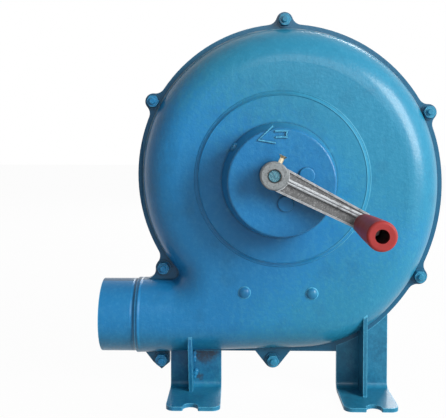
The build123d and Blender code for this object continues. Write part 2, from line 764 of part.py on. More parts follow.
def plate_screw(point):
    """Slotted screw that holds the back plate."""
    low = SEAT_BACK - PLATE_SCREW_HEAD_HEIGHT
    head = rod(point, PLATE_SCREW_HEAD, low, SEAT_BACK)
    head = chamfer(head.faces().sort_by(Axis.Z)[0].edges(), DRIVE_SLOT)
    shank = rod(point, PLATE_SCREW_RADIUS, SEAT_BACK, INNER_FACE + PLATE_SCREW_BITE)
    slot = Box(2 * PLATE_SCREW_HEAD + OVER, DRIVE_SLOT, 2 * DRIVE_SLOT)
    return head + shank - Pos(point[0], point[1], low) * slot


def bush(centre, outer, bore, low, high):
    """Plain bush along z."""
    return rod(centre, outer, low, high) - rod(centre, bore, low - OVER, high + OVER)


def layshaft_bushes(shaft):
    """Front and rear bushes of one layshaft."""
    bore = LAYSHAFT_RADIUS + RUNNING
    rear = bush(shaft, LAY_BUSH_RADIUS, bore, LAY_SEAT, INNER_FACE)
    return [rear, bush(shaft, LAY_BUSH_RADIUS, bore, BUSH_BACK, BUSH_FRONT)]


def crank_bush():
    """Long bush that carries the crank shaft."""
    bore = CRANK_SHAFT_RADIUS + RUNNING
    return bush(CRANK, CRANK_BUSH_RADIUS, bore, CRANK_BUSH_BACK, CRANK_BUSH_FRONT)


# --- Gears -------------------------------------------------------------------
def involute(angle):
    """The involute function."""
    return tan(angle) - angle


def tip_radius(teeth):
    """Radius over a gear's teeth."""
    return (teeth * PITCH_PER_TOOTH) + ADDENDUM * MODULE


def tooth_flank(teeth):
    """Radius and half angle of a tooth from its root to its tip."""
    pitch = teeth * PITCH_PER_TOOTH
    base = pitch * cos(PRESSURE_ANGLE)
    root = pitch - DEDENDUM * MODULE
    start = max(base, root)
    half = pi / (2 * teeth) - BACKLASH / (2 * pitch)
    points = []
    for step in range(FLANK_STEPS + 1):
        radius = start + (tip_radius(teeth) - start) * step / FLANK_STEPS
        angle = half + involute(PRESSURE_ANGLE) - involute(acos(min(1.0, base / radius)))
        points.append((radius, degrees(angle)))
    if root < start:
        points.insert(0, (root, points[0][1]))
    return points


def toothed(centre, teeth, turned, low, high):
    """Toothed bar along z with one tooth pointing along an angle."""
    flank = tooth_flank(teeth)
    points = []
    for tooth in range(teeth):
        middle = turned + tooth * 360 / teeth
        points += [polar(centre, radius, middle - half) for radius, half in flank]
        points += [polar(centre, radius, middle + half) for radius, half in flank[::-1]]
    outline = make_face(Polyline(*points, close=True))
    return prism(outline, low, high)


def facing(start, end, teeth):
    """Turn that puts a gear's gap, not a tooth, towards the gear it meets."""
    return bearing_of(end, start) + 180 / teeth


def gear(centre, teeth, turned, bore, low):
    """Wheel with lightening holes."""
    wheel = toothed(centre, teeth, turned, low, low + GEAR_WIDTH)
    wheel -= rod(centre, bore, low - OVER, low + GEAR_WIDTH + OVER)
    for point, _ in around(centre, GEAR_HOLE_CIRCLE, GEAR_HOLES, FIRST_GEAR_HOLE):
        wheel -= rod(point, GEAR_HOLE_RADIUS, low - OVER, low + GEAR_WIDTH + OVER)
    return wheel


def pinion(centre, teeth, turned, low, high):
    """Small gear on a layshaft."""
    bar = toothed(centre, teeth, turned, low, high)
    return bar - rod(centre, LAYSHAFT_RADIUS, low - OVER, high + OVER)


def key_block():
    """Square key that drives the crank gear."""
    middle = CRANK_STAGE + GEAR_WIDTH / 2
    seat = CRANK[1] + CRANK_SHAFT_RADIUS
    return Pos(CRANK[0], seat, middle) * Box(KEY_SIZE, KEY_SIZE, GEAR_WIDTH)


def crank_gear():
    """Wheel on the crank shaft."""
    turned = bearing_of(CRANK, FIRST_SHAFT)
    wheel = gear(CRANK, CRANK_GEAR_TEETH, turned, CRANK_SHAFT_RADIUS, CRANK_STAGE)
    return wheel - key_block()


def crank_shaft():
    """Shaft from behind the crank gear to the crank's hub."""
    front = CRANK_HUB_FRONT - SHAFT_SETBACK
    shaft = rod(CRANK, CRANK_SHAFT_RADIUS, CRANK_STAGE - PINION_OVERHANG, front)
    shaft = chamfer(shaft.edges().sort_by(Axis.Z)[-1], SHAFT_SETBACK / 2)
    return shaft - key_block()


def layshaft(shaft):
    """Plain layshaft between its bushes."""
    return rod(shaft, LAYSHAFT_RADIUS, LAY_SEAT + END_FLOAT, BUSH_FRONT - END_FLOAT)


def first_pinion():
    """Pinion that the crank gear drives."""
    turned = facing(CRANK, FIRST_SHAFT, FIRST_PINION_TEETH)
    high = CRANK_STAGE + GEAR_WIDTH + PINION_OVERHANG
    return pinion(FIRST_SHAFT, FIRST_PINION_TEETH, turned, GEAR_STAGE + GEAR_WIDTH, high)


def first_gear():
    """Wheel on the first layshaft."""
    turned = bearing_of(FIRST_SHAFT, SECOND_SHAFT)
    return gear(FIRST_SHAFT, FIRST_GEAR_TEETH, turned, LAYSHAFT_RADIUS, GEAR_STAGE)


def second_pinion():
    """Pinion that the first layshaft's wheel drives."""
    turned = facing(FIRST_SHAFT, SECOND_SHAFT, SECOND_PINION_TEETH)
    high = GEAR_STAGE + GEAR_WIDTH + PINION_OVERHANG
    return pinion(SECOND_SHAFT, SECOND_PINION_TEETH, turned, FAN_STAGE + GEAR_WIDTH, high)


def second_gear():
    """Wheel on the second layshaft."""
    turned = bearing_of(SECOND_SHAFT, (0.0, 0.0))
    wheel = toothed(SECOND_SHAFT, SECOND_GEAR_TEETH, turned, FAN_STAGE, FAN_STAGE + GEAR_WIDTH)
    return wheel - rod(SECOND_SHAFT, LAYSHAFT_RADIUS, FAN_STAGE - OVER, GEAR_STAGE + OVER)


# --- Fan shaft and impeller --------------------------------------------------
def fan_shaft():
    """Shaft with the last pinion cut on its front end."""
    turned = facing(SECOND_SHAFT, (0.0, 0.0), FAN_PINION_TEETH)
    low = FAN_STAGE - PINION_OVERHANG
    teeth = toothed((0.0, 0.0), FAN_PINION_TEETH, turned, low, PINION_FRONT)
    shaft = rod((0, 0), FAN_SHAFT_RADIUS, NUT_BACK - SHAFT_TIP, low)
    return chamfer(shaft.edges().sort_by(Axis.Z)[0], BOLT_POINT) + teeth


def ball_circle():
    """Radius of the ring of balls."""
    return (BEARING_RADIUS + FAN_SHAFT_RADIUS) / 2


def ball_track(low):
    """Ring-shaped groove that the balls run in."""
    groove = Torus(ball_circle(), BALL_RADIUS + BALL_CLEARANCE)
    return Pos(0, 0, low + BEARING_WIDTH / 2) * groove


def outer_race(low):
    """Outer ring of a ball bearing."""
    inner = BEARING_RADIUS - RACE_WALL
    return bush((0, 0), BEARING_RADIUS, inner, low, low + BEARING_WIDTH) - ball_track(low)


def inner_race(low):
    """Inner ring of a ball bearing."""
    outer = FAN_SHAFT_RADIUS + RACE_WALL
    return bush((0, 0), outer, FAN_SHAFT_RADIUS, low, low + BEARING_WIDTH) - ball_track(low)


def balls(low):
    """The balls of one bearing."""
    middle = low + BEARING_WIDTH / 2
    ring = around((0, 0), ball_circle(), BALLS)
    return [Pos(x, y, middle) * Sphere(BALL_RADIUS) for (x, y), _ in ring]


def impeller_hub():
    """Turned hub with the flange that carries the disc."""
    collar = FAN_SHAFT_RADIUS + RACE_WALL - RUNNING
    hub = rod((0, 0), HUB_RADIUS, HUB_BACK, TUBE_BACK - HUB_GAP / 2)
    hub += rod((0, 0), HUB_FLANGE_RADIUS, DISC_SEAT - HUB_FLANGE_THICKNESS, DISC_SEAT)
    hub += rod((0, 0), collar, DISC_SEAT, REAR_BEARING)
    hub -= rod((0, 0), FAN_SHAFT_RADIUS, HUB_BACK - OVER, REAR_BEARING + OVER)
    for point, _ in hub_rivet_places():
        hub -= rod(point, SMALL_RIVET_RADIUS, HUB_BACK, DISC_SEAT + OVER)
    return hub


def hub_rivet_places():
    """Centres of the rivets between hub and disc."""
    circle = (HUB_RADIUS + HUB_FLANGE_RADIUS) / 2
    return around((0, 0), circle, HUB_RIVETS, FIRST_HUB_RIVET)


def blade_rivet_places():
    """Centres of the rivets through the foot of the blade that lies along x."""
    middle = BLADE_THICKNESS / 2 + BLADE_FOOT / 2
    span = IMPELLER_RADIUS - BLADE_ROOT
    return [(BLADE_ROOT + span * share, middle) for share in BLADE_RIVETS]


def blade_rivet_holes(low, high):
    """Rivet holes of every blade between two heights."""
    holes = []
    for _, angle in around((0, 0), BLADE_ROOT, BLADES):
        for place in blade_rivet_places():
            holes.append(Rot(0, 0, angle) * rod(place, SMALL_RIVET_RADIUS, low, high))
    return holes


def impeller_disc():
    """Sheet disc that carries the blades."""
    high = DISC_SEAT + DISC_THICKNESS
    disc = rod((0, 0), DISC_RADIUS, DISC_SEAT, high)
    disc -= rod((0, 0), HUB_RADIUS, DISC_SEAT - OVER, high + OVER)
    for point, _ in hub_rivet_places():
        disc -= rod(point, SMALL_RIVET_RADIUS, DISC_SEAT - OVER, high + OVER)
    return disc - blade_rivet_holes(DISC_SEAT - OVER, high + OVER)


def impeller_blade():
    """One blade lying along x, with its foot against the disc."""
    span = IMPELLER_RADIUS - BLADE_ROOT
    middle = (IMPELLER_RADIUS + BLADE_ROOT) / 2
    low = DISC_SEAT - BLADE_WIDTH
    sheet = Pos(middle, 0, (low + DISC_SEAT) / 2) * Box(span, BLADE_THICKNESS, BLADE_WIDTH)
    foot_y = BLADE_THICKNESS / 2 + BLADE_FOOT / 2
    foot_z = DISC_SEAT - BLADE_THICKNESS / 2
    foot_size = (span - 2 * FOOT_MARGIN, BLADE_FOOT, BLADE_THICKNESS)
    blade = sheet + Pos(middle, foot_y, foot_z) * Box(*foot_size)
    for place in blade_rivet_places():
        blade -= rod(place, SMALL_RIVET_RADIUS, DISC_SEAT - 2 * BLADE_THICKNESS, DISC_SEAT + OVER)
    return blade


def impeller_blades():
    """All blades, evenly spaced."""
    return [Rot(0, 0, angle) * impeller_blade() for _, angle in around((0, 0), BLADE_ROOT, BLADES)]


def small_rivet(point, low):
    """Rivet between a lower face and the front of the disc."""
    high = DISC_SEAT + DISC_THICKNESS
    shank = rod(point, SMALL_RIVET_RADIUS, low, high)
    front = dome(point, SMALL_RIVET_HEAD, SMALL_RIVET_RISE, high)
    return shank + front + dome(point, SMALL_RIVET_HEAD, -SMALL_RIVET_RISE, low)


def impeller_rivets():
    """All rivets of the impeller."""
    flange_back = DISC_SEAT - HUB_FLANGE_THICKNESS
    rivets = [small_rivet(point, flange_back) for point, _ in hub_rivet_places()]
    for _, angle in around((0, 0), BLADE_ROOT, BLADES):
        for place in blade_rivet_places():
            low = DISC_SEAT - BLADE_THICKNESS
            rivets.append(Rot(0, 0, angle) * small_rivet(place, low))
    return rivets


def impeller_washer():
    """Washer behind the impeller's hub."""
    return bush((0, 0), WASHER_RADIUS, FAN_SHAFT_RADIUS, NUT_SEAT, HUB_BACK)


def impeller_nut():
    """Nut that holds the impeller."""
    nut = hex_bar((0, 0), FAN_NUT_FLATS, NUT_BACK, NUT_SEAT)
    return nut - rod((0, 0), FAN_SHAFT_RADIUS, NUT_BACK - OVER, NUT_SEAT + OVER)


# --- Crank -------------------------------------------------------------------
ARM_FRAME = Pos(CRANK[0], CRANK[1], 0) * Rot(0, 0, ARM_ANGLE)


def arm_strip(start, end, root, tip, low, high):
    """Strip along the arm between two lines: (lower, upper) at its ends."""
    outline = Polygon(
        (start, root[0]), (end, tip[0]), (end, tip[1]), (start, root[1]), align=None
    )
    return prism(outline, low, high)


def beside(middle, width):
    """The two edges of a strip of a width about a middle."""
    return (middle - width / 2, middle + width / 2)


def set_screw_frame():
    """Frame of the set screw: z outwards from the crank's axis."""
    turned = Rot(0, 0, SET_SCREW_ANGLE) * Rot(0, 90, 0)
    return Pos(CRANK[0], CRANK[1], SET_SCREW_HEIGHT) * turned


def crank_arm():
    """Cast arm: hub, tapering arm with ribs, and the eye for the handle."""
    hub = rod((0, 0), CRANK_HUB_RADIUS, CRANK_HUB_BACK, CRANK_HUB_STEP)
    hub = chamfer(hub.faces().sort_by(Axis.Z)[-1].edges(), ARM_EDGE)
    ring = rod((0, 0), CRANK_HUB_RING, CRANK_HUB_BACK, CRANK_HUB_FRONT)
    ring = chamfer(ring.faces().sort_by(Axis.Z)[-1].edges(), ARM_EDGE / 2)

    beam = arm_strip(0, ARM_LENGTH, ARM_ROOT, ARM_END, ARM_BACK, ARM_FRONT)
    beam = chamfer(beam.edges().filter_by(Axis.Z, reverse=True).group_by(Axis.Z)[0], ARM_EDGE)
    root_side = Pos(COLLAR_RADIUS, 0) * Rectangle(2 * COLLAR_RADIUS, 2 * ARM_ROOT[1])
    collar = rod((0, 0), COLLAR_RADIUS, ARM_BACK, COLLAR_FRONT)
    collar &= prism(root_side, ARM_BACK, COLLAR_FRONT)

    ends = (CRANK_HUB_RADIUS - OVER, ARM_LENGTH - ARM_EYE_RADIUS / 2)
    slope = (RIB_RUN[1] - RIB_RUN[0]) / ARM_LENGTH
    middles = [RIB_RUN[0] + slope * end for end in ends]
    rib_top = ARM_FRONT + RIB_RISE
    edges = [beside(middle, RIB_WIDTH) for middle in middles]
    rib = arm_strip(*ends, *edges, ARM_FRONT, rib_top)
    top_edges = rib.faces().sort_by(Axis.Z)[-1].edges().filter_by(GeomType.LINE)
    rib = chamfer([edge for edge in top_edges if edge.length > RIB_WIDTH + OVER], RIB_EDGE)
    edges = [beside(middle, RIB_GROOVE) for middle in middles]
    groove = arm_strip(*ends, *edges, rib_top - RIB_RISE / 2, rib_top + OVER)
    lips = []
    for side in (0, 1):
        inward = LIP_WIDTH / 2 if side == 0 else -LIP_WIDTH / 2
        edges = [beside(end[side] + inward, LIP_WIDTH) for end in (ARM_ROOT, ARM_END)]
        lips.append(arm_strip(0, ARM_LENGTH, *edges, ARM_FRONT, ARM_FRONT + LIP_RISE))
    eye = rod((ARM_LENGTH, 0), ARM_EYE_RADIUS, ARM_BACK, ARM_EYE_FRONT)
    eye = chamfer(eye.edges().filter_by(GeomType.CIRCLE), ARM_EDGE / 2)
    arm = beam + (rib - groove) + lips + collar + hub + ring + eye
    arm -= rod((0, 0), CRANK_SHAFT_RADIUS, CRANK_HUB_BACK - OVER, CRANK_HUB_FRONT + OVER)
    arm -= rod((ARM_LENGTH, 0), PIN_RADIUS, ARM_BACK - OVER, ARM_EYE_FRONT + OVER)
    arm = ARM_FRAME * arm
    reach = CRANK_HUB_RADIUS + OVER
    hole = Pos(0, 0, reach / 2) * Cylinder(SET_SCREW_RADIUS, reach)
    return arm - set_screw_frame() * hole


def crank_set_screw():
    """Countersunk screw that grips the crank shaft."""
    shank_end = SET_SCREW_REACH - SET_SCREW_CONE
    shank = Pos(0, 0, (CRANK_SHAFT_RADIUS + shank_end) / 2) * Cylinder(
        SET_SCREW_RADIUS, shank_end - CRANK_SHAFT_RADIUS
    )
    head = Pos(0, 0, SET_SCREW_REACH - SET_SCREW_CONE / 2) * Cone(
        SET_SCREW_RADIUS, SET_SCREW_HEAD, SET_SCREW_CONE
    )
    slot = Pos(0, 0, SET_SCREW_REACH) * Box(DRIVE_SLOT, SET_SCREW_SLOT, 2 * DRIVE_SLOT)
    shaft = rod(CRANK, CRANK_SHAFT_RADIUS, CRANK_HUB_BACK, CRANK_HUB_FRONT)
    return set_screw_frame() * (shank + head - slot) - shaft


def handle_pin():
    """Pin riveted into the arm, its head inside the grip."""
    head_low = GRIP_SEAT + GRIP_GAP
    pin = rod(HANDLE, PIN_RADIUS, ARM_BACK, head_low)
    head = rod(HANDLE, PIN_HEAD, head_low, head_low + PIN_HEAD_HEIGHT)
    head = chamfer(head.faces().sort_by(Axis.Z)[-1].edges(), BOLT_POINT)
    return pin + head + dome(HANDLE, PIN_TAIL_HEAD, -PIN_TAIL_RISE, ARM_BACK)


def handle_grip():
    """Moulded grip, flared towards its open end."""
    low = ARM_EYE_FRONT + GRIP_GAP
    waist = (low + GRIP_FRONT) / 2
    wall = [
        Line((0, low), (GRIP_BASE_RADIUS, low)),
        ThreePointArc(
            (GRIP_BASE_RADIUS, low), (GRIP_WAIST_RADIUS, waist), (GRIP_TIP_RADIUS, GRIP_FRONT)
        ),
        Line((GRIP_TIP_RADIUS, GRIP_FRONT), (0, GRIP_FRONT)),
        Line((0, GRIP_FRONT), (0, low)),
    ]
    upright = Plane(origin=(0, 0, 0), x_dir=(1, 0, 0), z_dir=(0, -1, 0))
    grip = revolve(upright * make_face(wall), Axis.Z)
    ends = grip.edges().filter_by(GeomType.CIRCLE)
    grip = fillet(ends, GRIP_EDGE)
    grip -= rod((0, 0), PIN_RADIUS + RUNNING, low - OVER, GRIP_SEAT + OVER)
    grip -= rod((0, 0), GRIP_HOLE, GRIP_SEAT, GRIP_FRONT + OVER)
    return Pos(HANDLE[0], HANDLE[1], 0) * grip


# --- Feet --------------------------------------------------------------------
def foot(span, notch, top):
    """Bent plate: an upright under the flange and a sole with a notch in front."""
    left, right = span
    sole = -FAN_HEIGHT
    floor = sole + FOOT_THICKNESS
    points = [
        (sole, 0),
        (sole, FOOT_REACH),
        (floor, FOOT_REACH),
        (floor, FOOT_THICKNESS),
        (top, FOOT_THICKNESS),
        (top, 0),
    ]
    middle = (left + right) / 2
    plate = sheet(points, middle, right - left)
    inner = plate.edges().filter_by(Axis.X).sort_by_distance((middle, floor, FOOT_THICKNESS))[0]
    plate = fillet(inner, BEND_RADIUS)
    outer = plate.edges().filter_by(Axis.X).sort_by_distance((middle, sole, 0))[0]
    plate = fillet(outer, BEND_RADIUS + FOOT_THICKNESS)
    toes = plate.edges().filter_by(Axis.Y).group_by(Axis.Z)[-1]
    plate = fillet(toes, TOE_ROUNDING)

    through = 2 * (FOOT_THICKNESS + OVER)
    notch_z = FOOT_REACH - NOTCH_DEPTH + NOTCH_RADIUS
    mouth_z = notch_z + NOTCH_RADIUS
    plate -= Pos(notch, floor, notch_z) * Rot(90, 0, 0) * Cylinder(NOTCH_RADIUS, through)
    plate -= Pos(notch, floor, mouth_z) * Box(2 * NOTCH_RADIUS, through, 2 * NOTCH_RADIUS)
    lips = plate.edges().filter_by(Axis.Y).group_by(Axis.Z)[-1]
    near = [edge for edge in lips if abs(abs(edge.center().X - notch) - NOTCH_RADIUS) < OVER]
    return fillet(near, NOTCH_LIP)


def left_foot():
    """Foot under the outlet's side, butted to the flange's base edge."""
    return foot(LEFT_FOOT, LEFT_NOTCH, BASE_EDGE)


def right_foot():
    """Foot under the scroll, its top cut to the flange's curve."""
    top = -FAN_HEIGHT / 2
    tall = foot(RIGHT_FOOT, RIGHT_NOTCH, top) - prism(flange_outline(), 0, FOOT_THICKNESS)
    return tall.solids().sort_by(Axis.Y)[0]


def gusset(spec):
    """Web between a foot and the belly of the front half."""
    middle, top_reach, foot_reach = spec
    floor = FOOT_THICKNESS - FAN_HEIGHT
    top = -FAN_HEIGHT / 2
    level = CENTRES[-1][1] - SCROLL_RADII[-1] + 2 * FLANGE_WIDTH
    points = [
        (floor, FOOT_THICKNESS),
        (floor, foot_reach),
        (level, top_reach),
        (top, top_reach),
        (top, FOOT_THICKNESS),
    ]
    web = sheet(points, middle, GUSSET_THICKNESS)
    across = GUSSET_THICKNESS + 2 * OVER
    bend = Pos(middle, floor + BEND_RADIUS, FOOT_THICKNESS + BEND_RADIUS)
    corner = Pos(middle, floor, FOOT_THICKNESS) * Box(across, 2 * BEND_RADIUS, 2 * BEND_RADIUS)
    corner -= bend * Rot(0, 90, 0) * Cylinder(BEND_RADIUS, across)
    web = web - corner - HALF_SOLID
    return web.solids().sort_by(Axis.Y)[0]


# --- Write every node --------------------------------------------------------
os.makedirs("parts", exist_ok=True)

save("front_shell", front_shell())
save("rear_shell", rear_shell())
save("seam_bolts", *[seam_bolt(lug) for lug in ALL_LUGS])
save("seam_nuts", *[seam_nut(lug) for lug in ALL_LUGS])
save("face_rivets", *[face_rivet(rivet) for rivet in RIVETS])
save("oil_plug", oil_plug())
save("left_foot", left_foot())
save("left_gusset", gusset(LEFT_GUSSET))
save("right_foot", right_foot())
save("right_gusset", gusset(RIGHT_GUSSET))

save("gear_case_plate", gear_case_plate())
save("plate_screws", *[plate_screw(point) for point, _ in plate_screw_places()])
save("crank_bush", crank_bush())
save("first_layshaft_bushes", *layshaft_bushes(FIRST_SHAFT))
save("second_layshaft_bushes", *layshaft_bushes(SECOND_SHAFT))
save("bearing_outer_races", outer_race(REAR_BEARING), outer_race(FRONT_BEARING))
save("bearing_inner_races", inner_race(REAR_BEARING), inner_race(FRONT_BEARING))
save("bearing_balls", *balls(REAR_BEARING), *balls(FRONT_BEARING))

save("crank_shaft", crank_shaft())
save("crank_gear", crank_gear())
save("crank_gear_key", key_block())
save("crank_arm", crank_arm())
save("crank_set_screw", crank_set_screw())
save("handle_pin", handle_pin())
save("handle_grip", handle_grip())

save("first_layshaft", layshaft(FIRST_SHAFT))
save("first_pinion", first_pinion())
save("first_gear", first_gear())
save("second_layshaft", layshaft(SECOND_SHAFT))
save("second_pinion", second_pinion())
save("second_gear", second_gear())

save("fan_shaft", fan_shaft())
save("impeller_hub", impeller_hub())
save("impeller_disc", impeller_disc())
save("impeller_blades", *impeller_blades())
save("impeller_rivets", *impeller_rivets())
save("impeller_washer", impeller_washer())
save("impeller_nut", impeller_nut())
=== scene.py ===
from math import cos, radians, sin

import bpy
from mathutils import Matrix, Vector


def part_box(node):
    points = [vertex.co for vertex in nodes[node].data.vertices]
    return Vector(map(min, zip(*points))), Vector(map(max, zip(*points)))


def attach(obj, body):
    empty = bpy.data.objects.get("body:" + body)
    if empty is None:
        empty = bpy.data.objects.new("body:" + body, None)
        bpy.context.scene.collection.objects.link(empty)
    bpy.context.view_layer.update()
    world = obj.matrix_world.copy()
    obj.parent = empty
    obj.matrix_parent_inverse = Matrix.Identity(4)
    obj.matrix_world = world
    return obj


# Finishes, weld beads, root fillets and the picture's set for a hand cranked
# forge blower.
# Metres, +Z up; the crank's side faces -Y and the outlet points to -X.

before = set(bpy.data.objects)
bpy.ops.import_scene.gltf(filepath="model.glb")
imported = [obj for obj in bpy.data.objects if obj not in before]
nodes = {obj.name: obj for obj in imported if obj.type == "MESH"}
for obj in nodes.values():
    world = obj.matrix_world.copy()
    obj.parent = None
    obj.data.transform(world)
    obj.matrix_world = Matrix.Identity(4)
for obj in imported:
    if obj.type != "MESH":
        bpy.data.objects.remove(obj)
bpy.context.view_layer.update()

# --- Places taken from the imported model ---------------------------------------


def middle(node):
    """Centre of a node's box."""
    low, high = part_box(node)
    return (low + high) / 2


FAN = middle("impeller_disc")
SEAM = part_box("front_shell")[1].y
FLANGE_THICKNESS = 0.004
SHELL_FACE = SEAM - 0.035  # flat face of the front half
CASE_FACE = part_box("crank_bush")[0].y + 0.002
CRANK = middle("crank_bush")
HANDLE = middle("handle_grip")
TONE_LEVEL = FAN.z - 0.050  # the enamel is bluest here and drifts to teal above and below
OUTLET_LEVEL = FAN.z - 0.1277  # the outlet's axis
RING_EDGE = 0.0751  # radius of the raised disc round the gear case
SHOULDER = FAN.x - 0.1308  # where the neck steps down to the spigot


def nut_centres():
    """Centres of the seam's nuts, from their loose meshes."""
    groups = []
    for vertex in nodes["seam_nuts"].data.vertices:
        near = [group for group in groups if (group[0] - vertex.co).length < 0.02]
        if near:
            near[0].append(vertex.co.copy())
        else:
            groups.append([vertex.co.copy()])
    centres = []
    for group in groups:
        low = Vector([min(co[i] for co in group) for i in range(3)])
        high = Vector([max(co[i] for co in group) for i in range(3)])
        centres.append((low + high) / 2)
    return centres


NUTS = nut_centres()


# --- Node writing -------------------------------------------------------------
class Wire:
    """A socket of a finish's nodes that can be summed like a number."""

    def __init__(self, finish, socket):
        self.finish = finish
        self.socket = socket

    def sum(self, operation, first, second):
        return self.finish.node("Math", {"operation": operation}, {0: first, 1: second})

    def __add__(self, other):
        return self.sum("ADD", self, other)

    def __radd__(self, other):
        return self.sum("ADD", other, self)

    def __sub__(self, other):
        return self.sum("SUBTRACT", self, other)

    def __rsub__(self, other):
        return self.sum("SUBTRACT", other, self)

    def __mul__(self, other):
        return self.sum("MULTIPLY", self, other)

    def __rmul__(self, other):
        return self.sum("MULTIPLY", other, self)


class Nodes:
    """A node tree that is written in expressions."""

    def __init__(self, tree):
        self.tree = tree
        self.tree.nodes.clear()

    def node(self, kind, settings=None, sockets=None, out=0):
        """Add a node: first its settings, then its sockets' values or links."""
        made = self.tree.nodes.new("ShaderNode" + kind)
        for name, value in (settings or {}).items():
            setattr(made, name, value)
        for name, value in (sockets or {}).items():
            socket = made.inputs[name]
            if isinstance(value, Wire):
                self.tree.links.new(value.socket, socket)
            elif isinstance(value, tuple) and socket.type == "RGBA":
                socket.default_value = (*value, 1.0)
            else:
                socket.default_value = value
        return Wire(self, made.outputs[out])

    def end(self, kind, shader):
        """Close the tree with its output."""
        last = self.tree.nodes.new("ShaderNodeOutput" + kind)
        self.tree.links.new(shader.socket, last.inputs["Surface"])

    def background_rays(self):
        """1 for the rays that show the background: camera, glossy and transmission."""
        camera, glossy, passing = [self.node("LightPath", out=out) for out in (0, 3, 6)]
        return self.node(
            "Math", {"operation": "MINIMUM"}, {0: camera + glossy + passing, 1: 1.0}
        )


class Finish(Nodes):
    """One material, with its patterns in the part's own frame."""

    def __init__(self, name):
        self.material = bpy.data.materials.new(name)
        self.material.use_nodes = True
        super().__init__(self.material.node_tree)
        self.place = self.node("TexCoord", out=3)
        self.x, self.y, self.z = [
            self.node("SeparateXYZ", None, {0: self.place}, axis) for axis in range(3)
        ]

    def noise(self, per_metre, detail, roughness, at=None):
        """Cloudy pattern from 0 to 1, with so many cells to the metre."""
        sockets = {
            "Vector": at or self.place,
            "Scale": per_metre,
            "Detail": detail,
            "Roughness": roughness,
        }
        return self.node("TexNoise", {"noise_dimensions": "3D"}, sockets)

    def cells(self, per_metre):
        """Distance to the nearest of scattered points, in cells."""
        sockets = {"Vector": self.place, "Scale": per_metre}
        return self.node("TexVoronoi", {"feature": "F1"}, sockets)

    def between(self, wire, low, high, first=0.0, last=1.0):
        """Smooth step from one value to another as a wire goes from low to high."""
        sockets = {
            "Value": wire,
            "From Min": low,
            "From Max": high,
            "To Min": first,
            "To Max": last,
        }
        return self.node("MapRange", {"interpolation_type": "SMOOTHSTEP"}, sockets)

    def off(self, wire, at):
        """How far a wire is from a value, either way."""
        return self.node("Math", {"operation": "ABSOLUTE"}, {0: wire - at})

    def ridge(self, wire, at, half):
        """1 on a line where a wire has a value, fading to 0 on both sides."""
        return self.between(self.off(wire, at), half, 0.0)

    def clear(self, reach, inside):
        """Share of the space round a point that the piece itself leaves open."""
        settings = {"only_local": True, "inside": inside, "samples": 8}
        return self.node("AmbientOcclusion", settings, {"Distance": reach}, 1)

    def hollows(self, reach):
        """1 deep in the piece's own creases, 0 on its open faces."""
        return self.between(self.clear(reach, False), 0.88, 0.50)

    def edges(self, reach):
        """1 on the piece's own outer edges, 0 away from them."""
        return self.between(self.clear(reach, True), 0.90, 0.55)

    def blend(self, mask, first, second):
        """Colour between two colours."""
        return self.node("Mix", {"data_type": "RGBA"}, {0: mask, 6: first, 7: second}, 2)

    def stretched(self, x, y, z):
        """The part's frame stretched, for grain that runs one way."""
        return self.node("Mapping", None, {"Vector": self.place, "Scale": (x, y, z)})

    def away_from(self, point):
        """Distance from a point."""
        return self.node(
            "VectorMath", {"operation": "DISTANCE"}, {0: self.place, 1: tuple(point)}, 1
        )

    def away_from_axis(self, point):
        """Distance from a line along Y through a point."""
        flat = self.node("CombineXYZ", None, {0: self.x, 2: self.z})
        target = (point[0], 0.0, point[2])
        return self.node("VectorMath", {"operation": "DISTANCE"}, {0: flat, 1: target}, 1)

    def bumped(self, height, depth):
        """Normal roughened by a height; depth is in metres for a height of 1."""
        return self.node("Bump", None, {"Strength": 1.0, "Distance": depth, "Height": height})

    def close(self, **sockets):
        """Finish with one surface shader; its varying sockets come as wires."""
        named = {name.replace("_", " "): value for name, value in sockets.items()}
        self.end("Material", self.node("BsdfPrincipled", None, named))
        return self.material


# --- Finishes -----------------------------------------------------------------
BLUE = (0.010, 0.185, 0.430)
CASE_BLUE = (0.008, 0.150, 0.370)
TEAL = (0.016, 0.198, 0.333)
SHADE_TEAL = (0.008, 0.150, 0.240)
DEEP_BLUE = (0.006, 0.075, 0.150)
PALE_BLUE = (0.090, 0.400, 0.590)
PRIMER = (0.150, 0.130, 0.120)
SCORCH = (0.055, 0.045, 0.045)


